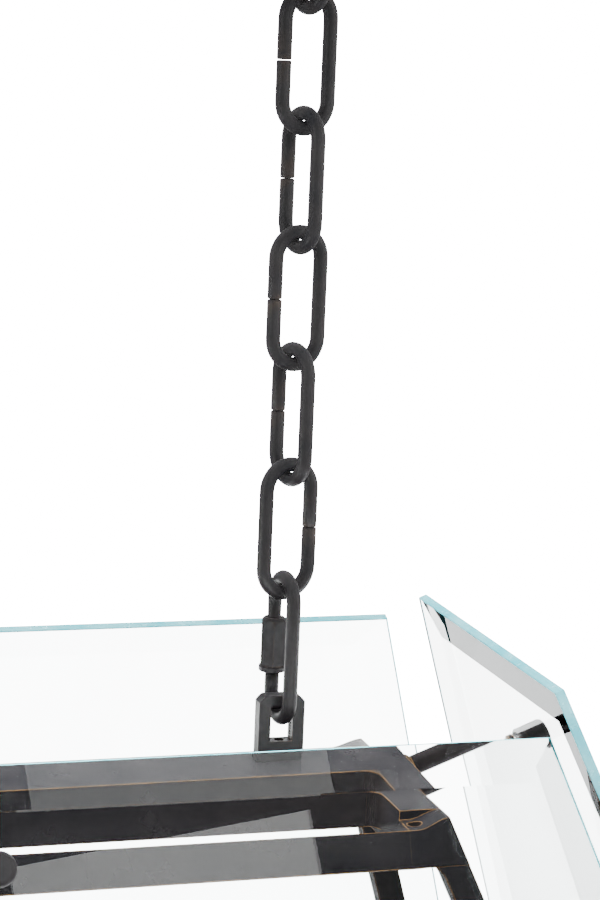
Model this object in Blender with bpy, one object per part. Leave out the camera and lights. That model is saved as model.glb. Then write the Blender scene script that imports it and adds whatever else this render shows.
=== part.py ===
"""Rectangular tapered hanging lantern on two chains.

Frame: origin on the ceiling above the middle of the lantern, +X along its
long side to the right, +Y to the back, +Z up. Helpers work in millimetres and
put() converts to metres.
"""
import math

import bmesh
import bpy
from mathutils import Matrix, Vector

for old in list(bpy.data.objects):
    bpy.data.objects.remove(old, do_unlink=True)

MM = 0.001

# Chains: each hangs plumb at X = -CHAIN_X and +CHAIN_X
CHAIN_X = 118.0
WIRE_R = 2.5            # all links are 5 mm wire
PITCH = 40.0
LINK_R = 9.0            # centre-line radius of a link's round ends
CROSS_GAP = 2.6         # wire centre to the crossing of two links
TOP_CROSS_Z = -47.0     # crossing of the canopy loop and the top link
LINKS = 5
TURN_A, TURN_B = 16.2, -73.8   # plan angles of alternate links, degrees

# Quick link between the chain and the stirrup
QL_R = 8.4
QL_TOP_Z, QL_BOT_Z = -244.4, -294.3
QL_TURN = -84.0
QL_GAP_Z = (-279.2, -272.8)    # opening in the wire, under the sleeve
SLEEVE_Z = (-279.7, -260.3)
SLEEVE_AF = 8.4
SLEEVE_BORE_R = 2.6

# Stirrup on the spine
ST_W, ST_D = 16.5, 5.5
ST_TOP_Z, ST_BOT_Z = -286.1, -318.1
ST_WIN_W = 8.0
ST_WIN_Z = (-302.5, -291.5)
ST_HOLE_R, ST_HOLE_D = 2.1, 12.0   # threaded hole in the window floor
LEVEL_Z = -291.65              # where the quick link bears under the top bar

# Frame: drops are measured down from the top ring's upper face
RING_Z = -318.4
RING_X, RING_Y = 164.8, 46.8   # half sizes of the upper face
LEAN_X, LEAN_Y = 0.385, 0.405  # how far the sides go out for each mm down
BAR_H = 12.8
END_H = 15.3                   # end bars reach down to the rails' lower edges
END_W = 14.8
SPINE_W, SPINE_H = 30.0, 13.0
RAIL_DROP, RAIL_T = 3.4, 8.0
POST_W, POST_D = 10.6, 8.0
FOOT_DROP = 241.2              # upper face of the bottom ring
GAP = 0.3

# Glass
GLASS_T, EDGE_T = 6.0, 3.6
BEVEL_W = 14.5
GLASS_BOT_Z = -580.0
SIDE_PANE = dict(top_z=-280.0, off=83.5, half=184.9, lean=0.405, widen=0.349)
END_PANE = dict(top_z=-268.7, off=195.7, half=67.5, lean=0.391, widen=0.365)

# Standoffs
ROD_R, STUD_R, GLASS_HOLE_R = 3.6, 2.3, 3.1
CAP_R, CAP_L = 5.5, 11.0

# Lamps
LAMP_X = (-120.0, -52.0, 52.0, 120.0)
ARM_Z = (-550.0, -542.0)
STEM_R = 6.35

# Canopy
COVER_X, COVER_Y, COVER_H, COVER_T = 150.0, 45.0, 25.0, 2.0
STRAP_X, STRAP_Y, STRAP_T = 140.0, 10.0, 4.0

X, Y, Z = Vector((1, 0, 0)), Vector((0, 1, 0)), Vector((0, 0, 1))


def material(name, colour, metallic, rough):
    mat = bpy.data.materials.new(name)
    mat.use_nodes = True
    bsdf = mat.node_tree.nodes["Principled BSDF"]
    bsdf.inputs["Base Color"].default_value = (*colour, 1.0)
    bsdf.inputs["Metallic"].default_value = metallic
    bsdf.inputs["Roughness"].default_value = rough
    return mat


def put(name, bm, mat, origin=(0, 0, 0)):
    """Name the body, face it outwards and give it its origin (mm)."""
    o = Vector(origin)
    bmesh.ops.translate(bm, vec=-o, verts=bm.verts)
    bmesh.ops.scale(bm, vec=(MM, MM, MM), verts=bm.verts)
    bmesh.ops.recalc_face_normals(bm, faces=bm.faces)
    mesh = bpy.data.meshes.new(name)
    bm.to_mesh(mesh)
    bm.free()
    ob = bpy.data.objects.new(name, mesh)
    ob.location = o * MM
    bpy.context.scene.collection.objects.link(ob)
    mesh.materials.append(mat)
    return ob


def prism(bm, low, high):
    """Closed body between two rings of points listed in the same order."""
    a = [bm.verts.new(Vector(p)) for p in low]
    b = [bm.verts.new(Vector(p)) for p in high]
    n = len(a)
    bm.faces.new(a)
    bm.faces.new(b)
    for i in range(n):
        j = (i + 1) % n
        bm.faces.new((a[i], a[j], b[j], b[i]))


def block(bm, x0, x1, y0, y1, z0, z1):
    prism(bm, [(x0, y0, z0), (x1, y0, z0), (x1, y1, z0), (x0, y1, z0)],
          [(x0, y0, z1), (x1, y0, z1), (x1, y1, z1), (x0, y1, z1)])


def lathe(bm, profile, at, axis, segs, ring=False):
    """Turn (radius, distance) points round an axis; ring=True for a tube."""
    w = Vector(axis).normalized()
    u = w.orthogonal().normalized()
    v = w.cross(u)
    at = Vector(at)
    loops = []
    for r, t in profile:
        c = at + w * t
        if r < 1e-9:
            loops.append([bm.verts.new(c)])
        else:
            loops.append([bm.verts.new(c + u * r * math.cos(2 * math.pi * k / segs)
                                       + v * r * math.sin(2 * math.pi * k / segs))
                          for k in range(segs)])
    pairs = list(zip(loops, loops[1:]))
    if ring:
        pairs.append((loops[-1], loops[0]))
    else:
        for end in (loops[0], loops[-1]):
            if len(end) > 1:
                bm.faces.new(end)
    for a, b in pairs:
        for k in range(segs):
            m = (k + 1) % segs
            corners = [a[k % len(a)], a[m % len(a)], b[m % len(b)], b[k % len(b)]]
            seen = []
            for c in corners:
                if c not in seen:
                    seen.append(c)
            bm.faces.new(seen)


def wire(bm, path, flat, radius, sides, closed=True):
    """Round wire along a path that lies in the plane with normal flat."""
    n = len(path)
    rings = []
    for i, c in enumerate(path):
        before = path[i - 1] if (closed or i) else path[i]
        after = path[(i + 1) % n] if (closed or i < n - 1) else path[i]
        out = (after - before).normalized().cross(flat)
        rings.append([bm.verts.new(c + out * radius * math.cos(2 * math.pi * k / sides)
                                   + flat * radius * math.sin(2 * math.pi * k / sides))
                      for k in range(sides)])
    pairs = list(zip(rings, rings[1:]))
    if closed:
        pairs.append((rings[-1], rings[0]))
    else:
        bm.faces.new(rings[0])
        bm.faces.new(rings[-1])
    for a, b in pairs:
        for k in range(sides):
            m = (k + 1) % sides
            bm.faces.new((a[k], a[m], b[m], b[k]))


def plan(angle):
    a = math.radians(angle)
    return Vector((math.cos(a), math.sin(a), 0))


def oval(x, angle, z_low, z_high, r, arc):
    """Closed oval centre line in the upright plane at a plan angle."""
    h, path = plan(angle), []
    for mid, first in ((z_high - r, 0.0), (z_low + r, math.pi)):
        for k in range(arc + 1):
            a = first + math.pi * k / arc
            path.append(Vector((x, 0, mid)) + h * r * math.cos(a) + Z * r * math.sin(a))
    return path, h.cross(Z)


def minus(ob, cutter_bm):
    """Cut a body away from an object with an exact Boolean."""
    mesh = bpy.data.meshes.new("cutter")
    bmesh.ops.recalc_face_normals(cutter_bm, faces=cutter_bm.faces)
    bmesh.ops.scale(cutter_bm, vec=(MM, MM, MM), verts=cutter_bm.verts)
    cutter_bm.to_mesh(mesh)
    cutter_bm.free()
    cut = bpy.data.objects.new("cutter", mesh)
    cut.hide_render = True
    cut.display_type = "WIRE"
    bpy.context.scene.collection.objects.link(cut)
    boolean(ob, cut, "DIFFERENCE")


def boolean(ob, other, how):
    mod = ob.modifiers.new("b", "BOOLEAN")
    mod.operation = how
    mod.solver = "EXACT"
    mod.object = other
    bpy.context.view_layer.update()
    done = bpy.data.meshes.new_from_object(
        ob.evaluated_get(bpy.context.evaluated_depsgraph_get()))
    ob.modifiers.clear()
    ob.data = done
    bpy.data.objects.remove(other, do_unlink=True)


black = material("blackened_steel", (0.03, 0.03, 0.033), 0.9, 0.42)
bronze = material("bronze_frame", (0.07, 0.055, 0.045), 0.85, 0.38)
zinc = material("screw_steel", (0.45, 0.45, 0.46), 0.95, 0.35)
glass = material("clear_glass", (0.80, 0.92, 0.92), 0.0, 0.02)
cream = material("candle_cream", (0.86, 0.82, 0.72), 0.0, 0.55)
socket = material("socket_plastic", (0.08, 0.08, 0.08), 0.0, 0.5)
bulb_glass = material("bulb_glass", (0.9, 0.88, 0.82), 0.0, 0.05)

SIDES = (("left", -1), ("right", 1))
SIDE_HINGE_Z = TOP_CROSS_Z - PITCH
LEVEL = (CHAIN_X, 0, LEVEL_Z)


# ---- canopy -------------------------------------------------------------
bm = bmesh.new()
block(bm, -COVER_X, COVER_X, -COVER_Y, COVER_Y, -COVER_H, -GAP)
cover = put("canopy_cover", bm, black)
bm = bmesh.new()
block(bm, -COVER_X + COVER_T, COVER_X - COVER_T, -COVER_Y + COVER_T, COVER_Y - COVER_T,
      -COVER_H + COVER_T, 5)
minus(cover, bm)
for _, s in SIDES:
    bm = bmesh.new()
    lathe(bm, [(5.3, -COVER_H - 5), (5.3, -COVER_H + 5)], (s * CHAIN_X, 0, 0), Z, 16)
    minus(cover, bm)

bm = bmesh.new()
block(bm, -STRAP_X, STRAP_X, -STRAP_Y, STRAP_Y, -STRAP_T, 0)
strap = put("canopy_strap", bm, zinc)
for _, s in SIDES:
    bm = bmesh.new()
    lathe(bm, [(5.1, -9), (5.1, -0.8)], (s * CHAIN_X, 0, 0), Z, 16)
    minus(strap, bm)

# each loop is a ring on a threaded stem, whose collar holds the cover up
for side, s in SIDES:
    ring_bot = TOP_CROSS_Z - CROSS_GAP
    path, flat = oval(s * CHAIN_X, (TURN_A, TURN_B)[LINKS % 2], ring_bot,
                      ring_bot + 2 * LINK_R, LINK_R, 8)
    path = path[:8] + path[9:-1]
    bm = bmesh.new()
    wire(bm, path, flat, WIRE_R, 8)
    loop = put("canopy_loop_" + side, bm, black)
    bm = bmesh.new()
    lathe(bm, [(4.0, -33.0), (6.5, -30.5), (10.5, -29.5), (10.5, -25.3), (5.0, -25.3),
               (5.0, -1.0)], (s * CHAIN_X, 0, 0), Z, 16)
    boolean(loop, put("loop_stem", bm, black), "UNION")

# ---- chains -------------------------------------------------------------
for side, s in SIDES:
    for i in range(LINKS):
        # link 1 is the lowest; link LINKS hangs in the canopy loop
        low = TOP_CROSS_Z - PITCH * (LINKS - i) - CROSS_GAP
        high = low + PITCH + 2 * CROSS_GAP
        path, flat = oval(s * CHAIN_X, (TURN_A, TURN_B)[i % 2], low, high, LINK_R, 6)
        bm = bmesh.new()
        wire(bm, path, flat, WIRE_R, 8)
        top = i == LINKS - 1
        origin = (s * CHAIN_X, 0, TOP_CROSS_Z if top else SIDE_HINGE_Z)
        put("%s_link_%d" % (side, i + 1), bm, black, origin)

    # quick link: the wire is open behind the sleeve, on its far side
    h = plan(QL_TURN)
    c = Vector((s * CHAIN_X, 0, 0))
    path = [c - h * QL_R + Z * QL_GAP_Z[1]]
    for mid, first in ((QL_TOP_Z - QL_R, math.pi), (QL_BOT_Z + QL_R, 0.0)):
        for k in range(9):
            a = first - math.pi * k / 8
            path.append(c + Z * mid + h * QL_R * math.cos(a) + Z * QL_R * math.sin(a))
    path.append(c - h * QL_R + Z * QL_GAP_Z[0])
    bm = bmesh.new()
    wire(bm, path, h.cross(Z), WIRE_R, 10, closed=False)
    put("quick_link_" + side, bm, black, (s * CHAIN_X, 0, SIDE_HINGE_Z))

    # hexagonal sleeve with a rim at its foot and a chamfered top
    axis_at = c - h * QL_R
    hexr = SLEEVE_AF / 2 / math.cos(math.pi / 6)
    bm = bmesh.new()
    lathe(bm, [(hexr + 0.35, SLEEVE_Z[0]), (hexr + 0.35, SLEEVE_Z[0] + 2.0),
               (hexr, SLEEVE_Z[0] + 2.4), (hexr, SLEEVE_Z[1] - 1.2),
               (hexr - 0.9, SLEEVE_Z[1])], axis_at, Z, 6)
    sleeve = put("quick_link_sleeve_" + side, bm, black)
    bm = bmesh.new()
    lathe(bm, [(SLEEVE_BORE_R, SLEEVE_Z[0] - 5), (SLEEVE_BORE_R, SLEEVE_Z[1] + 5)],
          axis_at, Z, 24)
    minus(sleeve, bm)
    sleeve.data.transform(Matrix.Translation(-axis_at * MM))
    sleeve.location = axis_at * MM

    # stirrup: block with a window whose ceiling is a round saddle
    bm = bmesh.new()
    w, d, ch = ST_W / 2, ST_D / 2, 2.0
    shape = [(-w, ST_BOT_Z), (w, ST_BOT_Z), (w, ST_TOP_Z - ch), (w - ch, ST_TOP_Z),
             (-w + ch, ST_TOP_Z), (-w, ST_TOP_Z - ch)]
    cx = s * CHAIN_X
    prism(bm, [(cx + a, -d, b) for a, b in shape], [(cx + a, d, b) for a, b in shape])
    stirrup = put("stirrup_" + side, bm, black)
    bm = bmesh.new()
    saddle = ST_WIN_Z[1] + d
    prof = [(d + 1, saddle), (d + 1, ST_WIN_Z[0]), (-d - 1, ST_WIN_Z[0]), (-d - 1, saddle)]
    prof += [(-d * math.cos(math.pi * k / 10), saddle - d * math.sin(math.pi * k / 10))
             for k in range(11)]
    v = ST_WIN_W / 2
    prism(bm, [(cx - v, a, b) for a, b in prof], [(cx + v, a, b) for a, b in prof])
    minus(stirrup, bm)
    bm = bmesh.new()
    lathe(bm, [(ST_HOLE_R, ST_WIN_Z[0] - ST_HOLE_D), (ST_HOLE_R, ST_WIN_Z[0] + 1)],
          (cx, 0, 0), Z, 16)
    minus(stirrup, bm)


# ---- frame --------------------------------------------------------------
def face_x(drop):
    return RING_X + LEAN_X * drop


def face_y(drop):
    return RING_Y + LEAN_Y * drop


def ring_points(drop, inset_x=0.0, inset_y=0.0):
    """Corners of the frame's outside at a drop below the top, moved in."""
    x, y, z = face_x(drop) - inset_x, face_y(drop) - inset_y, RING_Z - drop
    return [(-x, -y, z), (x, -y, z), (x, y, z), (-x, y, z)]


# top ring: spine, two end bars and two leaning rails, welded into one
JOIN = 5.0
spine_x = RING_X - END_W + JOIN
bm = bmesh.new()
block(bm, -spine_x, spine_x, -SPINE_W / 2, SPINE_W / 2, RING_Z - SPINE_H, RING_Z)
top_frame = put("frame_top_ring", bm, bronze)
for _, s in SIDES:
    rows = []
    for drop in (0, END_H):
        x1, y1, z = face_x(drop), face_y(drop), RING_Z - drop
        x0 = RING_X - END_W
        rows.append([(s * x0, -y1, z), (s * x1, -y1, z), (s * x1, y1, z), (s * x0, y1, z)])
    bm = bmesh.new()
    prism(bm, *rows)
    boolean(top_frame, put("end_bar", bm, bronze), "UNION")
for s in (-1, 1):
    lean = math.hypot(1, LEAN_Y)
    down = Vector((0, s * LEAN_Y, -1)) / lean
    inward = Vector((0, -s, -LEAN_Y)) / lean
    a = Vector((0, s * (face_y(RAIL_DROP) - 0.2), RING_Z - RAIL_DROP))
    sect = [a, a + down * BAR_H, a + down * BAR_H + inward * RAIL_T, a + inward * RAIL_T]
    bm = bmesh.new()
    prism(bm, [p - X * spine_x for p in sect], [p + X * spine_x for p in sect])
    boolean(top_frame, put("rail", bm, bronze), "UNION")

# bottom ring: one closed rectangular band
bm = bmesh.new()
low, high = FOOT_DROP + BAR_H, FOOT_DROP
bands = [[bm.verts.new(Vector(p)) for p in ring_points(d, ix, iy)]
         for d, ix, iy in ((low, 0, 0), (high, 0, 0), (high, POST_W, POST_D),
                           (low, POST_W, POST_D))]
for a, b in zip(bands, bands[1:] + bands[:1]):
    for i in range(4):
        j = (i + 1) % 4
        bm.faces.new((a[i], a[j], b[j], b[i]))
put("frame_bottom_ring", bm, bronze)

for side, s in (("front", -1), ("back", 1)):
    for name, sx in SIDES:
        rows = []
        for drop in (END_H + GAP, FOOT_DROP - GAP):
            x1, y1, z = face_x(drop), face_y(drop), RING_Z - drop
            rows.append([(sx * x1, s * y1, z), (sx * (x1 - POST_W), s * y1, z),
                         (sx * (x1 - POST_W), s * (y1 - POST_D), z),
                         (sx * x1, s * (y1 - POST_D), z)])
        bm = bmesh.new()
        prism(bm, *rows)
        put("post_%s_%s" % (side, name), bm, bronze)

# ---- glass and standoffs -------------------------------------------------
def pane(name, spec, out, along):
    """One bevelled pane and its two standoffs; out and along are plan axes."""
    k = math.hypot(1, spec["lean"])
    down = (out * spec["lean"] - Z) / k
    n = (out + Z * spec["lean"]) / k
    top = out * spec["off"] + Z * spec["top_z"]
    fall = spec["top_z"] - GLASS_BOT_Z
    length = fall * k
    half0, half1 = spec["half"], spec["half"] + spec["widen"] * fall
    rate = spec["widen"] / k

    def corners(inset, up):
        side_in = inset * math.hypot(1, rate)
        res = []
        for dist in (inset, length - inset):
            h = half0 + rate * dist - side_in
            res.append([top + down * dist + along * (sg * h) + n * up for sg in (-1, 1)])
        return [res[0][0], res[0][1], res[1][1], res[1][0]]

    bm = bmesh.new()
    levels = [[bm.verts.new(p) for p in corners(i, u)]
              for i, u in ((0, -EDGE_T), (0, 0), (BEVEL_W, GLASS_T - EDGE_T))]
    bm.faces.new(levels[0])
    bm.faces.new(levels[2])
    for a, b in zip(levels, levels[1:]):
        for i in range(4):
            j = (i + 1) % 4
            bm.faces.new((a[i], a[j], b[j], b[i]))
    ob = put("glass_" + name, bm, glass)
    if out.x:
        starts = [out * face_x(d) + Z * (RING_Z - d)
                  for d in (BAR_H / 2, FOOT_DROP + BAR_H / 2)]
    else:
        starts = [out * face_y(d) + Z * (RING_Z - d)
                  for d in (RAIL_DROP + BAR_H / 2 / k, FOOT_DROP + BAR_H / 2)]
    for place, s in zip(("top", "bottom"), starts):
        t = (top - s).dot(n) - EDGE_T
        cut = bmesh.new()
        lathe(cut, [(GLASS_HOLE_R, t - 5), (GLASS_HOLE_R, t + 15)], s, n, 12)
        minus(ob, cut)
        rod = bmesh.new()
        lathe(rod, [(ROD_R, GAP), (ROD_R, t - GAP), (STUD_R, t - GAP),
                    (STUD_R, t + GLASS_T + 7.0)], s, n, 12)
        put("standoff_%s_%s" % (place, name), rod, bronze)
        c0 = t + GLASS_T + GAP
        cap = bmesh.new()
        lathe(cap, [(0, c0 + 8.0), (2.6, c0 + 8.0), (2.6, c0), (CAP_R, c0),
                    (CAP_R, c0 + CAP_L - 1.5), (CAP_R - 1.5, c0 + CAP_L), (0, c0 + CAP_L)],
              s, n, 14)
        put("knob_%s_%s" % (place, name), cap, black)


pane("front", SIDE_PANE, -Y, X)
pane("back", SIDE_PANE, Y, X)
pane("left", END_PANE, -X, Y)
pane("right", END_PANE, X, Y)

# ---- lamps --------------------------------------------------------------
under = RING_Z - SPINE_H - GAP
bm = bmesh.new()
lathe(bm, [(11.0, under), (11.0, under - 3.0), (STEM_R, under - 5.0),
           (STEM_R, ARM_Z[1] + 8.3)], (0, 0, 0), Z, 16)
put("lamp_stem", bm, bronze)

# arm with a hub in the middle and a turned cup under each candle
bm = bmesh.new()
block(bm, -LAMP_X[3] - 12, LAMP_X[3] + 12, -6, 6, *ARM_Z)
arm = put("lamp_arm", bm, bronze)
bm = bmesh.new()
lathe(bm, [(12.0, ARM_Z[0] - 3), (12.0, ARM_Z[1] + 4), (8.0, ARM_Z[1] + 8)], (0, 0, 0), Z, 16)
boolean(arm, put("hub", bm, bronze), "UNION")
for i, x in enumerate(LAMP_X):
    at = (x, 0, ARM_Z[1])
    number = str(i + 1)
    bm = bmesh.new()
    lathe(bm, [(7.0, -2.0), (7.0, 1.0), (16.0, 4.0), (16.0, 6.5), (15.0, 6.5), (14.0, 5.0)],
          at, Z, 14)
    boolean(arm, put("cup", bm, bronze), "UNION")
    bm = bmesh.new()
    lathe(bm, [(10.9, 5.3), (10.9, 52.0), (9.6, 52.0), (9.6, 5.3)], at, Z, 14, ring=True)
    put("candle_sleeve_" + number, bm, cream)
    bm = bmesh.new()
    lathe(bm, [(0, 5.3), (9.0, 5.3), (9.0, 48.0), (7.6, 48.0), (7.6, 26.0), (0, 26.0)],
          at, Z, 12)
    put("lamp_socket_" + number, bm, socket)
    bm = bmesh.new()
    lathe(bm, [(0, 26.4), (2.5, 26.4), (7.0, 30.0), (7.0, 47.0), (6.0, 50.0), (8.5, 56.0),
               (14.0, 70.0), (15.5, 80.0), (13.5, 92.0), (8.0, 106.0), (3.0, 116.0),
               (0, 119.0)], at, Z, 12)
    put("bulb_" + number, bm, bulb_glass)

# origins of what hangs below the level hinge lie on that hinge's axis
for ob in bpy.context.scene.objects:
    hung = ob.name.startswith(("frame_", "post_", "glass_", "standoff_", "knob_", "lamp_",
                               "candle_", "bulb_", "stirrup_"))
    if hung:
        shift = Vector(LEVEL) * MM - ob.location
        ob.data.transform(Matrix.Translation(-shift))
        ob.location = Vector(LEVEL) * MM
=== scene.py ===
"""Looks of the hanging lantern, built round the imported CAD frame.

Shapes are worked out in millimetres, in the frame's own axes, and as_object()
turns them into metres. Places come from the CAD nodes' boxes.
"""
import math

import bmesh
import bpy
from mathutils import Matrix, Vector


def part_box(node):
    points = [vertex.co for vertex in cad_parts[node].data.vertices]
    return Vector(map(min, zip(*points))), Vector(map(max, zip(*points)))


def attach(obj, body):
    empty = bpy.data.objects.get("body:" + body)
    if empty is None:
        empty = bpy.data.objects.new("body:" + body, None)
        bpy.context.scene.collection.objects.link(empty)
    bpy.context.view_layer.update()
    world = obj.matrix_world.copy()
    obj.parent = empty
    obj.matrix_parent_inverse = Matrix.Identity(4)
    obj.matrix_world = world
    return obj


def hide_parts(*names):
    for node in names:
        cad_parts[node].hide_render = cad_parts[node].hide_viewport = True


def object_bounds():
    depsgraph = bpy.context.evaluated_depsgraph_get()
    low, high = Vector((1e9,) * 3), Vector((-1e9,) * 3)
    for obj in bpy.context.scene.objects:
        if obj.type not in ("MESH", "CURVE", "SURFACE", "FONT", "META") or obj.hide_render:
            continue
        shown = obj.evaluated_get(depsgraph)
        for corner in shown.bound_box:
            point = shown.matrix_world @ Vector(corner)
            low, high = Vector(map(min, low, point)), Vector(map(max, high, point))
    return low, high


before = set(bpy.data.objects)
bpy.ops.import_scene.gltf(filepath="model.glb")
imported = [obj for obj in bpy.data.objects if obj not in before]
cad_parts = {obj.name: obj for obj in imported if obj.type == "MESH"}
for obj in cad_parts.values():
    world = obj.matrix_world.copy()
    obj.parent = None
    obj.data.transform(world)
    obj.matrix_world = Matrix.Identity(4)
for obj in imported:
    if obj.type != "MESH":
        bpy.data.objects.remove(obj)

cad_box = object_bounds()
MM = 0.001
X, Y, Z = Vector((1, 0, 0)), Vector((0, 1, 0)), Vector((0, 0, 1))
SIDES = (("left", -1), ("right", 1))

# chain and quick link
WIRE_R, LINK_R, LINKS = 2.5, 9.0, 5
TURN_A, TURN_B = 16.2, -73.8       # links face one way and the other in turn (degrees)
SLIT = 0.24                        # gap where a link's wire ends meet
QL_R, QL_TURN = 8.4, -84.0
QL_GAP_Z = (-279.2, -272.8)
QL_PITCH, QL_THREADS = 0.8, 9
QL_THREAD_R, QL_CREST_R, QL_TIP_R = 2.18, 2.48, 2.2
SLEEVE_AF, SLEEVE_BORE_R = 8.4, 2.6
# stirrup
ST_WIN_W, ST_WIN_Z, ST_CHAMFER = 8.0, (-302.5, -291.5), 2.2
# frame
LEAN_X, LEAN_Y = 0.385, 0.405
RING_X, RING_Y, RING_Z = 164.8, 46.8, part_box("frame_top_ring")[1][2] / MM
BAR_H, END_W, SPINE_W, SPINE_H = 12.8, 14.8, 30.0, 13.0
RAIL_DROP, RAIL_T = 3.4, 8.0
END_H = 15.3                       # end bars reach down to the rails' lower edges
JOIN = 5.0                         # how far spine and rails run into the end bars
PAD_IN, PAD_DEEP, PAD_FLAT = 1.0, 9.5, 3.0    # lowered pad at each corner
PAD_HOLE_R, PAD_HOLE_X, PAD_HOLE_Y = 2.5, 3.8, 4.6
POST_W, POST_D, FOOT_DROP = 10.6, 8.0, 241.2
FLARE = 5.0                        # height of the web at each end of a post
# glass
GLASS_T, EDGE_T, BEVEL_W, ARRIS = 6.0, 3.6, 14.5, 0.35
GLASS_BOT_Z = -580.0
SIDE_PANE = dict(top_z=-280.0, off=83.5, half=184.9, lean=0.405, widen=0.349)
END_PANE = dict(top_z=-268.7, off=195.7, half=67.5, lean=0.391, widen=0.365)
ROD_R, STUD_R, GLASS_HOLE_R = 3.6, 2.3, 3.1
CAP_R, CAP_L = 5.5, 11.0
# lamps
ARM_Z = (-550.0, -542.0)


# ---- materials ----------------------------------------------------------
class Shader:
    """A Principled material and short calls to wire nodes into it."""

    def __init__(self, name, **values):
        self.mat = bpy.data.materials.new(name)
        self.mat.use_nodes = True
        self.tree = self.mat.node_tree
        self.bsdf = self.tree.nodes["Principled BSDF"]
        for key, value in values.items():
            self.bsdf.inputs[key.replace("_", " ")].default_value = value
        self.coords = self.node("ShaderNodeTexCoord").outputs["Object"]

    def node(self, kind, **attrs):
        made = self.tree.nodes.new(kind)
        for key, value in attrs.items():
            setattr(made, key, value)
        return made

    def link(self, out, where):
        self.tree.links.new(out, where)

    def noise(self, scale, detail=4.0, rough=0.55, stretch=None):
        tex = self.node("ShaderNodeTexNoise")
        tex.inputs["Scale"].default_value = scale
        tex.inputs["Detail"].default_value = detail
        tex.inputs["Roughness"].default_value = rough
        src = self.coords
        if stretch:
            m = self.node("ShaderNodeMapping")
            m.inputs["Scale"].default_value = stretch
            self.link(src, m.inputs["Vector"])
            src = m.outputs["Vector"]
        self.link(src, tex.inputs["Vector"])
        return tex.outputs["Fac"]

    def ramp(self, fac, low, high, lo_at=0.35, hi_at=0.65):
        r = self.node("ShaderNodeValToRGB")
        a, b = r.color_ramp.elements
        a.position, b.position = lo_at, hi_at
        a.color, b.color = (*low, 1), (*high, 1)
        self.link(fac, r.inputs["Fac"])
        return r.outputs["Color"]

    def span(self, fac, low, high, from_low=0.3, from_high=0.7):
        m = self.node("ShaderNodeMapRange")
        for key, value in (("From Min", from_low), ("From Max", from_high),
                           ("To Min", low), ("To Max", high)):
            m.inputs[key].default_value = value
        self.link(fac, m.inputs["Value"])
        return m.outputs["Result"]

    def mix(self, fac, a, b):
        m = self.node("ShaderNodeMix", data_type="RGBA")
        self.link(fac, m.inputs[0])
        for src, sock in ((a, m.inputs[6]), (b, m.inputs[7])):
            if isinstance(src, tuple):
                sock.default_value = (*src, 1)
            else:
                self.link(src, sock)
        return m.outputs[2]

    def times(self, a, b):
        m = self.node("ShaderNodeMath", operation="MULTIPLY", use_clamp=True)
        self.link(a, m.inputs[0])
        self.link(b, m.inputs[1])
        return m.outputs[0]

    def edges(self, radius, gain):
        """Bright where the surface turns over an edge."""
        bevel = self.node("ShaderNodeBevel", samples=6)
        bevel.inputs["Radius"].default_value = radius
        geo = self.node("ShaderNodeNewGeometry")
        dot = self.node("ShaderNodeVectorMath", operation="DOT_PRODUCT")
        self.link(bevel.outputs["Normal"], dot.inputs[0])
        self.link(geo.outputs["True Normal"], dot.inputs[1])
        return self.span(dot.outputs["Value"], 1.0, 0.0, 1.0 - 1.0 / gain, 1.0)

    def bump(self, height, distance, strength=1.0):
        b = self.node("ShaderNodeBump")
        b.inputs["Distance"].default_value = distance
        b.inputs["Strength"].default_value = strength
        self.link(height, b.inputs["Height"])
        self.link(b.outputs["Normal"], self.bsdf.inputs["Normal"])

    def colour(self, out):
        self.link(out, self.bsdf.inputs["Base Color"])

    def roughness(self, out):
        self.link(out, self.bsdf.inputs["Roughness"])


def make_bronze():
    s = Shader("dark_bronze", Metallic=0.55)
    base = s.ramp(s.noise(45), (0.0125, 0.012, 0.0145), (0.026, 0.024, 0.0265))
    worn = s.times(s.edges(0.0006, 12.0), s.span(s.noise(160, 5), 0.5, 1.0, 0.35, 0.6))
    s.colour(s.mix(worn, base, (0.50, 0.29, 0.12)))
    s.roughness(s.span(s.noise(120, 5), 0.17, 0.28))
    s.bump(s.noise(260, 3), 0.00002, 0.5)
    return s.mat


def make_black():
    s = Shader("blackened_steel", Metallic=0.0, Specular_IOR_Level=0.32)
    base = s.ramp(s.noise(90), (0.002, 0.002, 0.0025), (0.006, 0.0055, 0.006))
    worn = s.times(s.edges(0.0005, 8.0), s.span(s.noise(160, 4), 0.0, 0.6, 0.45, 0.7))
    s.colour(s.mix(worn, base, (0.07, 0.05, 0.035)))
    s.roughness(s.span(s.noise(180, 4), 0.34, 0.46))
    s.bump(s.noise(420, 3), 0.00002, 0.4)
    return s.mat


def make_steel():
    s = Shader("zinc_steel", Metallic=1.0)
    s.colour(s.ramp(s.noise(70), (0.42, 0.42, 0.43), (0.56, 0.55, 0.53)))
    s.roughness(s.span(s.noise(40, 6, 0.7, (1, 30, 30)), 0.25, 0.5))
    s.bump(s.noise(60, 4, 0.6, (1, 25, 25)), 0.00002)
    return s.mat


def make_glass():
    s = Shader("clear_glass", Transmission_Weight=1.0, IOR=1.5, Base_Color=(0.955, 0.985, 0.985, 1))
    s.roughness(s.span(s.noise(18, 6), 0.0, 0.016, 0.66, 0.95))
    s.bump(s.noise(9, 1), 0.00006, 0.25)
    return s.mat


def make_glass_edge():
    s = Shader("glass_edge", Transmission_Weight=0.3, IOR=1.5)
    s.colour(s.ramp(s.noise(60, 3), (0.06, 0.46, 0.55), (0.22, 0.66, 0.74)))
    s.roughness(s.span(s.noise(240, 3), 0.12, 0.3))
    s.bump(s.noise(500, 2), 0.00003)
    return s.mat


def make_candle():
    s = Shader("candle_cream", Subsurface_Weight=0.12, Subsurface_Scale=0.004)
    s.colour(s.ramp(s.noise(35), (0.74, 0.68, 0.55), (0.84, 0.79, 0.67)))
    s.roughness(s.span(s.noise(90), 0.42, 0.6))
    s.bump(s.noise(220, 3), 0.0001, 0.5)
    return s.mat


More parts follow.
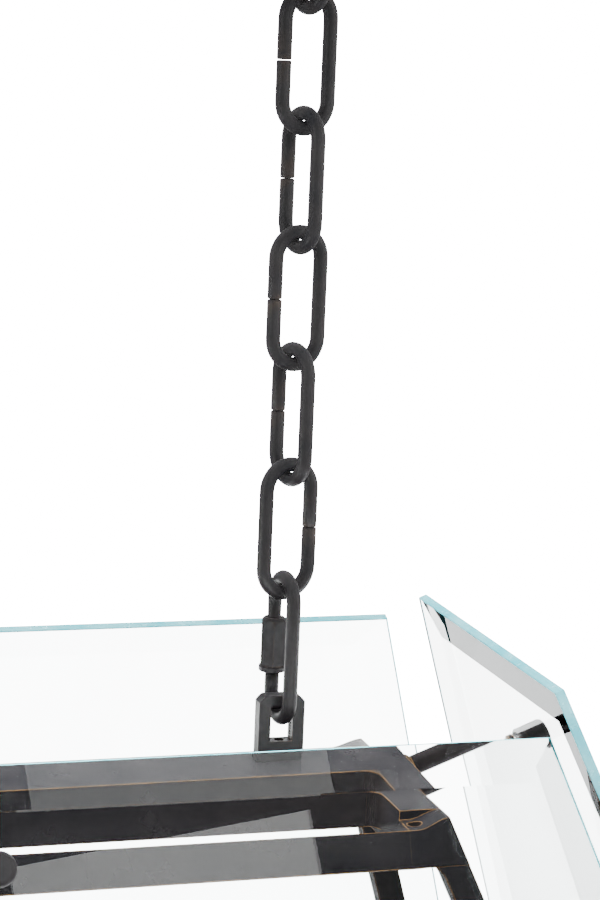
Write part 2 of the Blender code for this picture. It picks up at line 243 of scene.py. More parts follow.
def make_socket():
    s = Shader("socket_black")
    s.colour(s.ramp(s.noise(150), (0.02, 0.02, 0.02), (0.045, 0.045, 0.047)))
    s.roughness(s.span(s.noise(300), 0.4, 0.6))
    s.bump(s.noise(900, 2), 0.00004)
    return s.mat


def make_bulb():
    s = Shader("bulb_glass", Transmission_Weight=1.0, IOR=1.45, Base_Color=(0.99, 0.975, 0.95, 1))
    s.roughness(s.span(s.noise(50, 4), 0.0, 0.02, 0.4, 0.8))
    s.bump(s.noise(40, 1), 0.00005, 0.3)
    return s.mat


def make_brass():
    s = Shader("bulb_brass", Metallic=1.0)
    s.colour(s.ramp(s.noise(120), (0.55, 0.40, 0.17), (0.75, 0.58, 0.29)))
    s.roughness(s.span(s.noise(200), 0.18, 0.38))
    s.bump(s.noise(700, 2), 0.00003)
    return s.mat


BRONZE, BLACK, STEEL = make_bronze(), make_black(), make_steel()
GLASS, GLASS_EDGE = make_glass(), make_glass_edge()
CANDLE, SOCKET = make_candle(), make_socket()
BULB, BRASS = make_bulb(), make_brass()


# ---- mesh helpers (mm) ----------------------------------------------------
def band(bm, a, b):
    """Faces between two rings of corners listed in the same order."""
    after = list(range(1, len(a))) + [0]
    return [bm.faces.new((a[i], a[j], b[j], b[i])) for i, j in enumerate(after)]


def loft(bm, outlines):
    """Closed body through outlines whose points are listed in the same order."""
    rings = [[bm.verts.new(Vector(p)) for p in outline] for outline in outlines]
    bm.faces.new(rings[0])
    bm.faces.new(rings[-1])
    for a, b in zip(rings, rings[1:]):
        band(bm, a, b)


def prism(bm, low, high):
    loft(bm, (low, high))


def block(bm, x0, x1, y0, y1, z0, z1):
    prism(bm, [(x0, y0, z0), (x1, y0, z0), (x1, y1, z0), (x0, y1, z0)],
          [(x0, y0, z1), (x1, y0, z1), (x1, y1, z1), (x0, y1, z1)])


def lathe(bm, profile, at, axis, segs=48, ring=False, shape=None):
    """Turn (radius, distance) points; shape(angle, r, t) may change each."""
    w = Vector(axis).normalized()
    u = w.orthogonal().normalized()
    v = w.cross(u)
    at = Vector(at)
    loops = []
    for r, t in profile:
        if r < 1e-9:
            loops.append([bm.verts.new(at + w * t)])
            continue
        loop = []
        for k in range(segs):
            a = 2 * math.pi * k / segs
            rr, tt = shape(a, r, t) if shape else (r, t)
            loop.append(bm.verts.new(at + u * rr * math.cos(a) + v * rr * math.sin(a) + w * tt))
        loops.append(loop)
    pairs = list(zip(loops, loops[1:]))
    if ring:
        pairs.append((loops[-1], loops[0]))
    else:
        for end in (loops[0], loops[-1]):
            if len(end) > 1:
                bm.faces.new(end)
    faces = []
    for a, b in pairs:
        for k in range(segs):
            m = (k + 1) % segs
            seen = []
            for c in (a[k % len(a)], a[m % len(a)], b[m % len(b)], b[k % len(b)]):
                if c not in seen:
                    seen.append(c)
            faces.append(bm.faces.new(seen))
    return faces


def wire(bm, path, flat, radii, sides=24, closed=True):
    """Round wire along a path in the plane with normal flat."""
    n = len(path)
    rings = []
    for i, c in enumerate(path):
        before = path[i - 1] if (closed or i) else path[i]
        after = path[(i + 1) % n] if (closed or i < n - 1) else path[i]
        out = (after - before).normalized().cross(flat)
        r = radii[i]
        rings.append([bm.verts.new(c + out * r * math.cos(2 * math.pi * k / sides)
                                   + flat * r * math.sin(2 * math.pi * k / sides))
                      for k in range(sides)])
    pairs = list(zip(rings, rings[1:]))
    if closed:
        pairs.append((rings[-1], rings[0]))
    else:
        bm.faces.new(rings[0])
        bm.faces.new(rings[-1])
    for a, b in pairs:
        band(bm, a, b)


def as_object(name, bm, mats):
    bmesh.ops.scale(bm, vec=(MM, MM, MM), verts=bm.verts)
    bmesh.ops.recalc_face_normals(bm, faces=bm.faces)
    mesh = bpy.data.meshes.new(name)
    bm.to_mesh(mesh)
    bm.free()
    ob = bpy.data.objects.new(name, mesh)
    bpy.context.scene.collection.objects.link(ob)
    for m in mats:
        mesh.materials.append(m)
    return ob


def boolean(ob, bm, how="UNION"):
    other = as_object("tool", bm, ob.data.materials[:1])
    mod = ob.modifiers.new("b", "BOOLEAN")
    mod.operation, mod.solver, mod.object = how, "EXACT", other
    bpy.context.view_layer.update()
    ob.data = bpy.data.meshes.new_from_object(
        ob.evaluated_get(bpy.context.evaluated_depsgraph_get()))
    ob.modifiers.clear()
    bpy.data.objects.remove(other, do_unlink=True)


def put(ob, body, nodes=(), bevel=0.0, angle=35.0):
    """Shade a finished piece, round its edges and tie it to the frame."""
    if bevel:
        mod = ob.modifiers.new("rounding", "BEVEL")
        mod.width, mod.segments, mod.limit_method = bevel * MM, 3, "ANGLE"
        mod.angle_limit = math.radians(angle)
        mod.harden_normals = True
    ob.data.shade_smooth()
    ob.data.set_sharp_from_angle(angle=math.radians(angle))
    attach(ob, body)
    if nodes:
        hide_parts(*nodes)
    return ob


def plan(angle):
    a = math.radians(angle)
    return Vector((math.cos(a), math.sin(a), 0))


def arc_points(centre, h, r, first, last, steps):
    return [centre + h * r * math.cos(a) + Z * r * math.sin(a)
            for a in (first + (last - first) * k / steps for k in range(steps + 1))]


def middle_x(node):
    low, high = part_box(node)
    return (low[0] + high[0]) / 2 / MM


# ---- chains ---------------------------------------------------------------
def chain_link(side, number):
    """Oval link bent from round wire, its ends meeting in a narrow slit."""
    node = "%s_link_%d" % (side, number)
    low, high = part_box(node)
    z0, z1 = low[2] / MM + WIRE_R, high[2] / MM - WIRE_R
    angle = (TURN_A, TURN_B)[(number - 1) % 2]
    # the slit is on the left straight, but on the right one in the lowest link
    h = plan(angle) * (1 if number == 1 else -1)
    c = Vector((middle_x(node), 0, 0))
    mid = (z0 + z1) / 2
    up = arc_points(c + Z * (z1 - LINK_R), h, LINK_R, 0, math.pi, 22)
    down = arc_points(c + Z * (z0 + LINK_R), h, LINK_R, math.pi, 2 * math.pi, 22)
    side_at = c + h * LINK_R
    ends = ((SLIT / 2, 0.80), (SLIT / 2 + 0.12, 0.93), (SLIT / 2 + 0.4, 1.0))
    path = [side_at + Z * (mid + d) for d, _ in ends] + up + down
    path += [side_at + Z * (mid - d) for d, _ in reversed(ends)]
    radii = [WIRE_R * k for _, k in ends] + [WIRE_R] * (len(up) + len(down))
    radii += [WIRE_R * k for _, k in reversed(ends)]
    bm = bmesh.new()
    wire(bm, path, h.cross(Z), radii, closed=False)
    body = "top_links" if number == LINKS else "chain_" + side
    put(as_object("chain_%s_link_%d" % (side, number), bm, [BLACK]), body,
        [node], angle=50)


def quick_link(side):
    node = "quick_link_" + side
    low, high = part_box(node)
    z0, z1 = low[2] / MM + WIRE_R, high[2] / MM - WIRE_R
    h = plan(QL_TURN)
    c = Vector((middle_x(node), 0, 0))
    thread = [(QL_GAP_Z[1] + k * QL_PITCH / 2, QL_CREST_R if k % 2 else QL_THREAD_R)
              for k in range(2 * QL_THREADS + 1)]
    path = [c - h * QL_R + Z * z for z, _ in thread]
    path += arc_points(c + Z * (z1 - QL_R), h, QL_R, math.pi, 0, 24)
    path += arc_points(c + Z * (z0 + QL_R), h, QL_R, 0, -math.pi, 24)
    path += [c - h * QL_R + Z * z for z in (QL_GAP_Z[0] - 0.5, QL_GAP_Z[0])]
    radii = [r for _, r in thread] + [WIRE_R] * (len(path) - len(thread) - 1) + [QL_TIP_R]
    bm = bmesh.new()
    wire(bm, path, h.cross(Z), radii, 28, closed=False)
    put(as_object("oval_" + node, bm, [BLACK]), "chain_" + side, [node],
        angle=50)


def sleeve(side):
    """Hexagonal sleeve: faces, a turned chamfer above and a rim below."""
    node = "quick_link_sleeve_" + side
    low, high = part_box(node)
    z0, z1 = low[2] / MM, high[2] / MM
    at = Vector((middle_x(node), (low[1] + high[1]) / 2 / MM, 0))
    flat_r = SLEEVE_AF / 2

    def hexed(a, r, t):
        face = (a + math.pi / 6) % (math.pi / 3) - math.pi / 6
        return (min(r, flat_r / math.cos(face)), t) if t > z0 + 2.2 else (r, t)

    big = flat_r / math.cos(math.pi / 6)
    outer = [(big - 0.35, z0), (big, z0 + 0.3), (big, z0 + 1.7), (big - 0.2, z0 + 2.1),
             (big, z0 + 2.3)]
    outer += [(big, z0 + 2.3 + k * (z1 - z0 - 4.2) / 6) for k in range(1, 7)]
    outer += [(flat_r + 0.25, z1 - 1.0), (flat_r - 0.15, z1 - 0.5), (flat_r - 0.7, z1)]
    inner = [(SLEEVE_BORE_R + 0.4, z1), (SLEEVE_BORE_R, z1 - 0.5), (SLEEVE_BORE_R, z0 + 0.5),
             (SLEEVE_BORE_R + 0.4, z0)]
    bm = bmesh.new()
    lathe(bm, outer + inner, at, Z, 72, ring=True, shape=hexed)
    put(as_object("hex_" + node, bm, [BLACK]), "sleeve_" + side, [node],
        angle=25)


def thread_profile(r, depth, z0, z1, pitch):
    """Zigzag profile of a thread's cutter."""
    n = int((z1 - z0) / pitch * 2)
    return [(r + (depth if k % 2 else 0), z0 + (z1 - z0) * k / n) for k in range(n + 1)]


def stirrup(side):
    node = "stirrup_" + side
    low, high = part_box(node)
    cx = middle_x(node)
    w, d = (high[0] - low[0]) / 2 / MM, (high[1] - low[1]) / 2 / MM
    z0, z1 = low[2] / MM, high[2] / MM
    ch = ST_CHAMFER
    shape = [(-w, z0), (w, z0), (w, z1 - ch), (w - ch * 0.45, z1 - ch * 0.45), (w - ch, z1),
             (-w + ch, z1), (-w + ch * 0.45, z1 - ch * 0.45), (-w, z1 - ch)]
    bm = bmesh.new()
    prism(bm, [(cx + a, -d, b) for a, b in shape], [(cx + a, d, b) for a, b in shape])
    ob = as_object(node + "_block", bm, [BLACK])
    saddle = ST_WIN_Z[1] + d
    prof = [(d + 1, saddle), (d + 1, ST_WIN_Z[0]), (-d - 1, ST_WIN_Z[0]), (-d - 1, saddle)]
    prof += [(-d * math.cos(math.pi * k / 24), saddle - d * math.sin(math.pi * k / 24))
             for k in range(25)]
    v = ST_WIN_W / 2
    bm = bmesh.new()
    prism(bm, [(cx - v, a, b) for a, b in prof], [(cx + v, a, b) for a, b in prof])
    boolean(ob, bm, "DIFFERENCE")
    for r, depth, a, b in ((1.8, 0.3, ST_WIN_Z[0] - 12, ST_WIN_Z[0] + 1),
                           (3.9, 0.5, ST_WIN_Z[0] + 0.2, ST_WIN_Z[1] - 1.0)):
        bm = bmesh.new()
        lathe(bm, thread_profile(r, depth, a, b, 1.0), (cx, 0, 0), Z, 40)
        boolean(ob, bm, "DIFFERENCE")
    put(ob, "lantern", [node], bevel=0.35)


for side, _ in SIDES:
    for number in range(1, LINKS + 1):
        chain_link(side, number)
    quick_link(side)
    sleeve(side)
    stirrup(side)


# ---- frame ----------------------------------------------------------------
def face_x(drop):
    return RING_X + LEAN_X * drop


def face_y(drop):
    return RING_Y + LEAN_Y * drop


def smooth(t):
    t = max(0.0, min(1.0, t))
    return t * t * (3 - 2 * t)


def fillet(bm, corner, dx, dy, r, z0, z1, lean=0.0):
    """Concave corner filler; dx and dy point into the open window."""
    cx, cy = corner
    arc = [(cx + dx * (r - r * math.cos(math.pi / 2 * k / 10)),
            cy + dy * (r - r * math.sin(math.pi / 2 * k / 10))) for k in range(11)]
    outline = [(cx - dx, cy - dy), (cx - dx, cy + dy * r)] + arc + [(cx + dx * r, cy - dy)]
    prism(bm, [(a, b + lean * (z1 - z0), z0) for a, b in outline],
          [(a, b, z1) for a, b in outline])


def top_ring():
    inner = RING_X - END_W
    bm = bmesh.new()
    block(bm, -inner - JOIN, inner + JOIN, -SPINE_W / 2, SPINE_W / 2, RING_Z - SPINE_H, RING_Z)
    ob = as_object("frame_ring_top", bm, [BRONZE])
    for sx in (-1, 1):
        rows = []
        for drop in (0, END_H):
            x1, y1, z = face_x(drop), face_y(drop), RING_Z - drop
            rows.append([(sx * inner, -y1, z), (sx * x1, -y1, z), (sx * x1, y1, z),
                         (sx * inner, y1, z)])
        bm = bmesh.new()
        prism(bm, *rows)
        boolean(ob, bm)
    k = math.hypot(1, LEAN_Y)
    for sy in (-1, 1):
        down = Vector((0, sy * LEAN_Y, -1)) / k
        inward = Vector((0, -sy, -LEAN_Y)) / k
        a = Vector((0, sy * (face_y(RAIL_DROP) - 0.01), RING_Z - RAIL_DROP))
        sect = [a, a + down * BAR_H, a + down * BAR_H + inward * RAIL_T, a + inward * RAIL_T]
        bm = bmesh.new()
        prism(bm, [p - X * (inner + JOIN) for p in sect], [p + X * (inner + JOIN) for p in sect])
        boolean(ob, bm)
        # end bars: the corner sinks to the rail in a smooth curve, with a screw hole
        for sx in (-1, 1):
            outlines = []
            for j in range(15):
                x = inner - PAD_IN + (END_W + 2 * PAD_IN) * j / 14
                climb = smooth((x - inner - PAD_FLAT) / (END_W - PAD_FLAT))
                floor = RING_Z - RAIL_DROP * (1 - climb)
                outlines.append([(sx * x, sy * y, z) for y, z in
                                 ((RING_Y + 6, floor), (RING_Y - PAD_DEEP, floor),
                                  (RING_Y - PAD_DEEP, RING_Z + 4), (RING_Y + 6, RING_Z + 4))])
            bm = bmesh.new()
            loft(bm, outlines)
            boolean(ob, bm, "DIFFERENCE")
            bm = bmesh.new()
            lathe(bm, [(PAD_HOLE_R, RING_Z - 9), (PAD_HOLE_R, RING_Z + 2)],
                  (sx * (inner + PAD_HOLE_X), sy * (RING_Y - PAD_HOLE_Y), 0), Z, 32)
            boolean(ob, bm, "DIFFERENCE")
    for sx in (-1, 1):
        for sy in (-1, 1):
            bm = bmesh.new()
            fillet(bm, (sx * inner, sy * SPINE_W / 2), -sx, sy, 5.0, RING_Z - SPINE_H + 0.2,
                   RING_Z - 0.05)
            boolean(ob, bm)
    put(ob, "lantern", ["frame_top_ring"], bevel=0.55)


def bottom_ring():
    bm = bmesh.new()
    bands = []
    for drop, ix, iy in ((FOOT_DROP + BAR_H, 0, 0), (FOOT_DROP, 0, 0),
                         (FOOT_DROP, POST_W, POST_D), (FOOT_DROP + BAR_H, POST_W, POST_D)):
        x, y, z = face_x(drop) - ix, face_y(drop) - iy, RING_Z - drop
        bands.append([bm.verts.new(Vector(p)) for p in
                      ((-x, -y, z), (x, -y, z), (x, y, z), (-x, y, z))])
    for a, b in zip(bands, bands[1:] + bands[:1]):
        band(bm, a, b)
    put(as_object("frame_ring_bottom", bm, [BRONZE]), "lantern",
        ["frame_bottom_ring"], bevel=0.7)


def post(place, sy, side, sx):
    """Corner post, flared into both rings by rounded webs."""
    top, foot = END_H - 1.0, FOOT_DROP + 1.0    # a little way into both rings
    drops = [top + FLARE * j / 6 for j in range(7)]
    drops += [foot - FLARE * j / 6 for j in range(6, -1, -1)]
    outlines = []
    for drop in drops:
        near = min(drop - top, foot - drop)
        t = max(0.0, 1 - near / FLARE)
        web = FLARE * (1 - math.sqrt(max(0.0, 1 - t * t)))
        x1, y1, z = face_x(drop), face_y(drop), RING_Z - drop
        x0, y0 = x1 - POST_W - web, y1 - POST_D - web * 0.6
        outlines.append([(sx * x1, sy * y1, z), (sx * x0, sy * y1, z), (sx * x0, sy * y0, z),
                         (sx * x1, sy * y0, z)])
    bm = bmesh.new()
    loft(bm, outlines)
    put(as_object("corner_post_%s_%s" % (place, side), bm, [BRONZE]), "lantern",
        ["post_%s_%s" % (place, side)], bevel=0.55)


top_ring()
bottom_ring()
for place, sy in (("front", -1), ("back", 1)):
    for side, sx in SIDES:
        post(place, sy, side, sx)


# ---- glass, standoffs and knobs --------------------------------------------
def pane(name, spec, out, along):
    """Bevelled pane facing out, with its two rods and knobs."""
    k = math.hypot(1, spec["lean"])
    down = (out * spec["lean"] - Z) / k
    n = (out + Z * spec["lean"]) / k
    top = out * spec["off"] + Z * spec["top_z"]
    fall = spec["top_z"] - GLASS_BOT_Z
    length = fall * k
    rate = spec["widen"] / k

    def corners(inset, up):
        side_in = inset * math.hypot(1, rate)
        rows = []
        for dist in (inset, length - inset):
            h = spec["half"] + rate * dist - side_in
            rows.append([top + down * dist + along * (sg * h) + n * up for sg in (-1, 1)])
        return [rows[0][0], rows[0][1], rows[1][1], rows[1][0]]

    bm = bmesh.new()
    rise = GLASS_T - EDGE_T
    levels = [[bm.verts.new(p) for p in corners(i, u)]
              for i, u in ((ARRIS, -EDGE_T), (0, -EDGE_T + ARRIS), (0, -ARRIS),
                           (ARRIS, 0), (BEVEL_W, rise))]
    bm.faces.new(levels[0])
    bm.faces.new(levels[-1])
    for number, (a, b) in enumerate(zip(levels, levels[1:])):
        for face in band(bm, a, b):
            face.material_index = 1 if number < 3 else 0
    ob = as_object("bevelled_glass_" + name, bm, [GLASS, GLASS_EDGE])
    if out.x:
        starts = [out * face_x(d) + Z * (RING_Z - d) for d in (BAR_H / 2, FOOT_DROP + BAR_H / 2)]
    else:
        starts = [out * face_y(d) + Z * (RING_Z - d)
                  for d in (RAIL_DROP + BAR_H / 2 / k, FOOT_DROP + BAR_H / 2)]
    for place, s in zip(("top", "bottom"), starts):
        t = (top - s).dot(n) - EDGE_T
        bm = bmesh.new()
        lathe(bm, [(GLASS_HOLE_R, t - 5), (GLASS_HOLE_R, t + 15)], s, n, 40)
        boolean(ob, bm, "DIFFERENCE")
        bm = bmesh.new()
        lathe(bm, [(0, -0.5), (ROD_R + 1.2, -0.5), (ROD_R + 1.2, 1.2), (ROD_R + 0.6, 1.8),
                   (ROD_R, 2.0), (ROD_R, t - 2.2), (ROD_R + 0.9, t - 1.8),
                   (ROD_R + 0.9, t - 0.1), (STUD_R, t - 0.1), (STUD_R, t + GLASS_T + 7.0),
                   (0, t + GLASS_T + 7.0)], s, n)
        put(as_object("rod_%s_%s" % (place, name), bm, [BRONZE]), "lantern",
            ["standoff_%s_%s" % (place, name)])
        c0 = t + GLASS_T + 0.05
        profile = [(0, c0 + 8.0), (2.6, c0 + 8.0), (2.6, c0), (CAP_R - 0.5, c0),
                   (CAP_R, c0 + 0.5)]
        profile += [(CAP_R - 2.0 + 2.0 * math.sin(a), c0 + CAP_L - 2.0 + 2.0 * math.cos(a) + 0.2)
                    for a in (math.pi / 2 * (1 - j / 8) for j in range(9))]
        profile += [(1.2, c0 + CAP_L + 0.2), (0, c0 + CAP_L + 0.1)]
        bm = bmesh.new()
        lathe(bm, profile, s, n)
        put(as_object("round_knob_%s_%s" % (place, name), bm, [BLACK]), "lantern",
            ["knob_%s_%s" % (place, name)])
    put(ob, "lantern", ["glass_" + name], angle=3)


pane("front", SIDE_PANE, -Y, X)
pane("back", SIDE_PANE, Y, X)
pane("left", END_PANE, -X, Y)
pane("right", END_PANE, X, Y)


# ---- lamps ----------------------------------------------------------------
def lamp_tree():
    low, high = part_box("lamp_stem")
    bm = bmesh.new()
    z0, z1 = low[2] / MM, high[2] / MM
    lathe(bm, [(0, z0), (6.0, z0), (6.35, z0 + 0.4), (6.35, z0 + 18), (7.6, z0 + 19),
               (7.6, z0 + 21), (6.35, z0 + 22), (6.35, z1 - 6), (7.5, z1 - 5), (10.4, z1 - 3.2),
               (11.0, z1 - 2.4), (11.0, z1), (0, z1)], (0, 0, 0), Z)
    put(as_object("stem_tube", bm, [BRONZE]), "lantern", ["lamp_stem"])
    low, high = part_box("lamp_arm")
    bm = bmesh.new()
    block(bm, low[0] / MM, high[0] / MM, -6, 6, *ARM_Z)
    ob = as_object("arm_bar", bm, [BRONZE])
    bm = bmesh.new()
    lathe(bm, [(10.0, ARM_Z[0] - 3), (12.0, ARM_Z[0] - 1.5), (12.0, ARM_Z[1] + 3.4),
               (11.2, ARM_Z[1] + 4.6), (8.4, ARM_Z[1] + 7.8)], (0, 0, 0), Z)
    boolean(ob, bm)
    for number in range(1, 5):
        bm = bmesh.new()
        lathe(bm, [(7.0, -2.0), (7.0, 0.8), (9.5, 1.6), (13.6, 2.8), (15.8, 4.4), (16.0, 6.0),
                   (15.6, 6.5), (15.1, 6.2), (14.4, 5.2), (13.0, 5.0)],
              (middle_x("bulb_%d" % number), 0, ARM_Z[1]), Z)
        boolean(ob, bm)
    put(ob, "lantern", ["lamp_arm"], bevel=0.4)
    for number in range(1, 5):
        candle(str(number), middle_x("bulb_" + str(number)), ARM_Z[1])


def candle(number, x, base):
    at = (x, 0, base)
    turn = 1.7 * int(number)

    def dripped(a, r, t):
        """Wax runs down from an uneven rim."""
        rim = max(0.0, (t - 30.0) / 22.0)
        run = max(0.0, math.sin(3 * a + turn)) ** 6
        run += 0.7 * max(0.0, math.sin(5 * a + 2 * turn)) ** 8
        if r > 10.2:
            r += rim * 0.55 * run
        if t > 50:
            t -= 0.5 * (1 + math.sin(2 * a + turn)) * (1 - 0.6 * min(1.0, run))
        return r, t

    outer = [(10.6, 5.3), (10.9, 5.6)] + [(10.9, 5.6 + 45.0 * k / 16) for k in range(1, 17)]
    outer += [(10.8, 51.6), (10.4, 52.0)]
    bm = bmesh.new()
    lathe(bm, outer + [(9.8, 52.0), (9.6, 51.6), (9.6, 5.3)], at, Z, 72, ring=True, shape=dripped)
    put(as_object("candle_tube_" + number, bm, [CANDLE]), "lantern",
        ["candle_sleeve_" + number])
    bm = bmesh.new()
    lathe(bm, [(0, 5.3), (8.6, 5.3), (9.0, 5.7), (9.0, 47.4), (8.7, 48.0), (7.8, 48.0),
               (7.6, 47.7), (7.6, 26.0), (0, 26.0)], at, Z)
    put(as_object("socket_" + number, bm, [SOCKET]), "lantern",
        ["lamp_socket_" + number])
    # bulb: threaded brass cap, then a torpedo of thin glass
    cap = [(0, 26.4), (2.2, 26.4), (2.6, 27.4), (5.2, 29.0), (6.4, 30.4)]
    cap += [(6.95 if k % 2 else 6.35, 31.0 + k * 0.8) for k in range(18)]
    cap += [(6.6, 46.2), (6.0, 49.4), (0, 49.4)]
    bm = bmesh.new()
    for f in lathe(bm, cap, at, Z):
        f.material_index = 1
    outline = [(5.9, 49.6), (6.3, 51.5), (8.5, 56.0), (11.6, 62.5), (14.0, 70.0), (15.1, 75.0),
               (15.4, 80.0), (14.9, 86.0), (13.5, 92.0), (11.0, 99.0), (8.0, 106.0),
               (5.2, 112.0), (2.9, 116.4), (1.2, 118.5), (0, 118.9)]
    lathe(bm, outline + [(max(0.0, r - 0.55), t - 0.35) for r, t in reversed(outline)][1:-1]
          + [(5.35, 49.6)], at, Z)
    bmesh.ops.remove_doubles(bm, verts=bm.verts, dist=1e-4)
    put(as_object("torpedo_bulb_" + number, bm, [BULB, BRASS]), "lantern",
        ["bulb_" + number])
    # filament: glass bead, two lead wires and a zigzag between them
    centre = Vector(at)
    bm = bmesh.new()
    lathe(bm, [(0, 49.6), (2.0, 50.0), (1.6, 58.0), (0.9, 60.5), (0, 61.0)], at, Z, 24)
    zig = [centre + X * (-5.5 + 11.0 * k / 10) + Z * (78 + (3.5 if k % 2 else -3.5))
           for k in range(11)]
    path = [centre - X * 0.8 + Z * 58, centre - X * 5.5 + Z * 70] + zig
    path += [centre + X * 5.5 + Z * 70, centre + X * 0.8 + Z * 58]
    wire(bm, path, Y, [0.16] * len(path), 8, closed=False)
    put(as_object("filament_" + number, bm, [BRASS]), "lantern")


lamp_tree()


# ---- canopy ---------------------------------------------------------------
def rounded(hx, hy, r, z, steps=8):
    points = []
    for cx, cy, first in ((hx - r, hy - r, 0), (r - hx, hy - r, 1), (r - hx, r - hy, 2),
                          (hx - r, r - hy, 3)):
        for k in range(steps + 1):
            a = math.pi / 2 * (first + k / steps)
            points.append(Vector((cx + r * math.cos(a), cy + r * math.sin(a), z)))
    return points


def canopy():
    low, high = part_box("canopy_cover")
    hx, hy, z0, z1 = high[0] / MM, high[1] / MM, low[2] / MM, high[2] / MM
    bm = bmesh.new()
    r = 8.0
    levels = [(0, z1), (0, z0 + 5)]
    levels += [(5 - 5 * math.cos(a), z0 + 5 - 5 * math.sin(a))
               for a in (math.pi / 2 * k / 6 for k in range(1, 7))]
    outer = [[bm.verts.new(p) for p in rounded(hx - i, hy - i, max(r - i, 2), z)]
             for i, z in levels]
    inner = [[bm.verts.new(p) for p in rounded(hx - i, hy - i, max(r - i, 2), z)]
             for i, z in ((6.0, z0 + 2), (3.0, z0 + 4), (2.0, z0 + 7), (2.0, z1))]
    bm.faces.new(outer[-1])
    bm.faces.new(inner[0])
    for a, b in [*zip(outer, outer[1:]), *zip(inner, inner[1:]), (inner[-1], outer[0])]:
        band(bm, a, b)
    ob = as_object("canopy_pan", bm, [BLACK])
    for side, _ in SIDES:
        bm = bmesh.new()
        lathe(bm, [(5.3, z0 - 5), (5.3, z0 + 5)], (middle_x("canopy_loop_" + side), 0, 0), Z, 40)
        boolean(ob, bm, "DIFFERENCE")
    put(ob, "canopy", ["canopy_cover"])
    low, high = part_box("canopy_strap")
    hx, hy, z0 = high[0] / MM, high[1] / MM, low[2] / MM
    bm = bmesh.new()
    prism(bm, rounded(hx, hy, 4, z0), rounded(hx, hy, 4, 0.0))
    ob = as_object("ceiling_strap", bm, [STEEL])
    for side, _ in SIDES:
        bm = bmesh.new()
        lathe(bm, [(5.1, z0 - 5), (5.1, -0.8)], (middle_x("canopy_loop_" + side), 0, 0), Z, 40)
        boolean(ob, bm, "DIFFERENCE")
    for x in (-75, 75):
        bm = bmesh.new()
        outline = [Vector((x + dx * 8 + 2.5 * math.cos(a), 2.5 * math.sin(a), 0))
                   for dx, first in ((1, -0.5), (-1, 0.5))
                   for a in (math.pi * (first + k / 10) for k in range(11))]
        prism(bm, [p + Z * (z0 - 2) for p in outline], [p + Z * 2 for p in outline])
        boolean(ob, bm, "DIFFERENCE")
    put(ob, "canopy", ["canopy_strap"], bevel=0.3)
    for side, _ in SIDES:
        node = "canopy_loop_" + side
        x = middle_x(node)
        ring_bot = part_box(node)[0][2] / MM + WIRE_R
        h = plan((TURN_A, TURN_B)[LINKS % 2])
        c = Vector((x, 0, ring_bot + LINK_R))
        path = arc_points(c, h, LINK_R, 0, 2 * math.pi, 64)[:-1]
        bm = bmesh.new()
        wire(bm, path, h.cross(Z), [WIRE_R] * len(path))
        ob = as_object("collar_loop_" + side, bm, [BLACK])
        bm = bmesh.new()
        lathe(bm, [(3.6, -33.4), (4.2, -32.4), (5.2, -31.4), (7.6, -30.6), (9.9, -29.6),
                   (10.5, -28.9), (10.5, -26.0), (10.1, -25.4), (5.0, -25.3), (5.0, -1.0)],
              (x, 0, 0), Z)
        boolean(ob, bm)
        put(ob, "canopy", [node], angle=30)


canopy()


# ---- camera, floor and light -------------------------------------------------
CAMERA_AT = (-0.1315, -0.8084, -0.0484)          # metres
YAW, PITCH, ROLL = -17.37, 10.11, 2.41           # degrees
LENS, SENSOR = 100.08, 36.0
FLOOR_BELOW, FLOOR_SIZE = 0.9, 12.0              # metres
# strengths: what the eye sees, what images inside a pane get, what lights the rest
BACKDROP, GLASS_MIRRORED = 20.0, 5.0
FLOOR_LIT, ROOM_FRONT, ROOM_BACK = 0.05, 0.06, 0.30


def first_sight(tree):
    """1 where the eye looks straight or through glass, 0 once light has bounced."""
    path = tree.nodes.new("ShaderNodeLightPath")
    total = tree.nodes.new("ShaderNodeMath")
    tree.links.new(path.outputs["Diffuse Depth"], total.inputs[0])
    tree.links.new(path.outputs["Glossy Depth"], total.inputs[1])
    flip = tree.nodes.new("ShaderNodeMapRange")
    flip.inputs["To Min"].default_value = 1.0
    flip.inputs["To Max"].default_value = 0.0
    tree.links.new(total.outputs[0], flip.inputs["Value"])
    return flip.outputs["Result"]


def inside_pane(tree):
    """1 for a mirror image inside a pane that nothing else has blurred."""
    path = tree.nodes.new("ShaderNodeLightPath")
    value = path.outputs["Is Singular Ray"]
    for test, depth, limit in (("GREATER_THAN", "Transmission Depth", 0.5),
                               ("LESS_THAN", "Transmission Depth", 3.5),
                               ("LESS_THAN", "Diffuse Depth", 0.5)):
        passed = tree.nodes.new("ShaderNodeMath")
        passed.operation = test
        passed.inputs[1].default_value = limit
        tree.links.new(path.outputs[depth], passed.inputs[0])
        both = tree.nodes.new("ShaderNodeMath")
        both.operation = "MULTIPLY"
        tree.links.new(value, both.inputs[0])
        tree.links.new(passed.outputs[0], both.inputs[1])
        value = both.outputs[0]
    return value


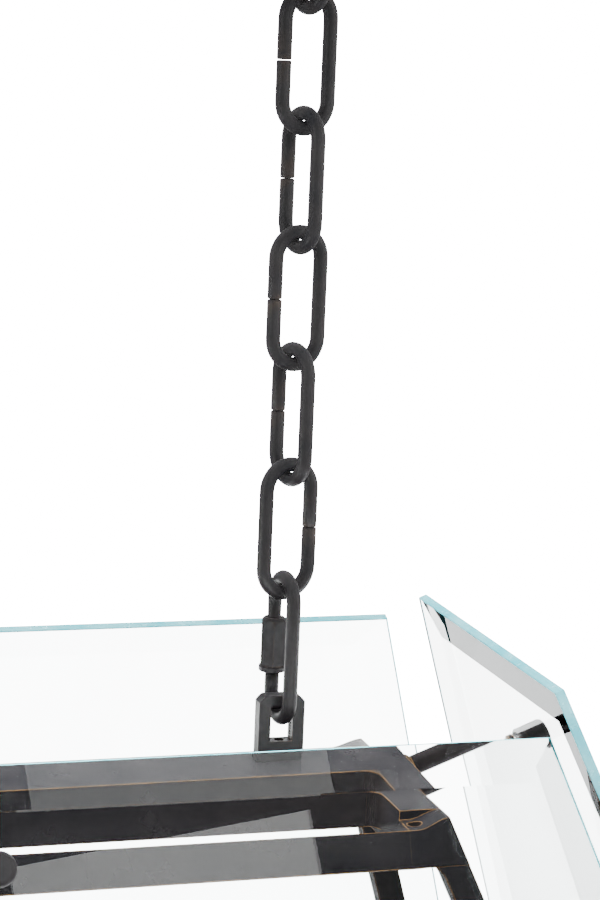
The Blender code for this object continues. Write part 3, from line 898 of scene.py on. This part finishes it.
def studio_world():
    """White backdrop to look at; as a light, brighter behind than in front."""
    world = bpy.data.worlds.new("studio")
    world.use_nodes = True
    tree = world.node_tree
    coords = tree.nodes.new("ShaderNodeTexCoord")
    parts = tree.nodes.new("ShaderNodeSeparateXYZ")
    tree.links.new(coords.outputs["Generated"], parts.inputs[0])
    bounced = tree.nodes.new("ShaderNodeMix")
    tree.links.new(inside_pane(tree), bounced.inputs[0])
    for socket, front, back, strength in ((2, -0.35, 0.6, ROOM_BACK),
                                          (3, 0.2, 0.5, GLASS_MIRRORED)):
        wall = tree.nodes.new("ShaderNodeMapRange")
        for key, value in (("From Min", front), ("From Max", back), ("To Min", ROOM_FRONT),
                           ("To Max", strength)):
            wall.inputs[key].default_value = value
        tree.links.new(parts.outputs["Y"], wall.inputs["Value"])
        tree.links.new(wall.outputs["Result"], bounced.inputs[socket])
    either = tree.nodes.new("ShaderNodeMix")
    tree.links.new(first_sight(tree), either.inputs[0])
    tree.links.new(bounced.outputs[0], either.inputs[2])
    either.inputs[3].default_value = BACKDROP
    tree.links.new(either.outputs[0], tree.nodes["Background"].inputs["Strength"])
    tree.nodes["Background"].inputs["Color"].default_value = (1, 1, 1, 1)
    bpy.context.scene.world = world


def studio():
    cam = bpy.data.cameras.new("camera")
    cam.sensor_fit = "VERTICAL"
    cam.sensor_height = SENSOR
    cam.lens = LENS
    cam.clip_start = 0.02
    ob = bpy.data.objects.new("camera", cam)
    turn = (Matrix.Rotation(math.radians(YAW), 4, "Z")
            @ Matrix.Rotation(math.radians(90 - PITCH), 4, "X")
            @ Matrix.Rotation(math.radians(ROLL), 4, "Z"))
    ob.matrix_world = Matrix.Translation(CAMERA_AT) @ turn
    bpy.context.scene.collection.objects.link(ob)
    bpy.context.scene.camera = ob

    floor_z = cad_box[0][2] - FLOOR_BELOW
    bm = bmesh.new()
    bmesh.ops.create_grid(bm, x_segments=8, y_segments=8, size=FLOOR_SIZE)
    bmesh.ops.translate(bm, vec=(0, 0, floor_z), verts=bm.verts)
    mesh = bpy.data.meshes.new("floor")
    bm.to_mesh(mesh)
    bm.free()
    s = Shader("pale_floor", Roughness=0.9)
    s.colour(s.ramp(s.noise(2), (0.90, 0.90, 0.90), (0.93, 0.93, 0.925)))
    s.bsdf.inputs["Emission Color"].default_value = (1, 1, 1, 1)
    mirrored = s.span(inside_pane(s.tree), FLOOR_LIT, GLASS_MIRRORED, 0.0, 1.0)
    either = s.node("ShaderNodeMix")
    s.link(first_sight(s.tree), either.inputs[0])
    s.link(mirrored, either.inputs[2])
    either.inputs[3].default_value = BACKDROP
    s.link(either.outputs[0], s.bsdf.inputs["Emission Strength"])
    mesh.materials.append(s.mat)
    floor = bpy.data.objects.new("floor", mesh)
    bpy.context.scene.collection.objects.link(floor)

    studio_world()
    # the panel is what the front glass mirrors towards the camera
    for name, at, aim, width, height, power in (
            ("panel", (0.368, -1.267, 0.068), (0.084, -0.415, -0.373), 0.245, 0.30, 0.62),
            ("top", (-0.4, -0.2, 1.5), (0, 0, -0.3), 1.0, 1.0, 5.0),
            ("side", (1.5, -0.9, 0.3), (0.1, 0, -0.3), 0.6, 0.9, 3.0),
            ("left", (-1.5, -0.7, 0.2), (0, 0, -0.3), 0.5, 0.9, 3.0)):
        light = bpy.data.lights.new(name, "AREA")
        light.shape = "RECTANGLE"
        light.energy, light.size, light.size_y = power, width, height
        ob = bpy.data.objects.new(name, light)
        ob.location = at
        ob.rotation_euler = (Vector(aim) - Vector(at)).to_track_quat("-Z", "Y").to_euler()
        bpy.context.scene.collection.objects.link(ob)


studio()
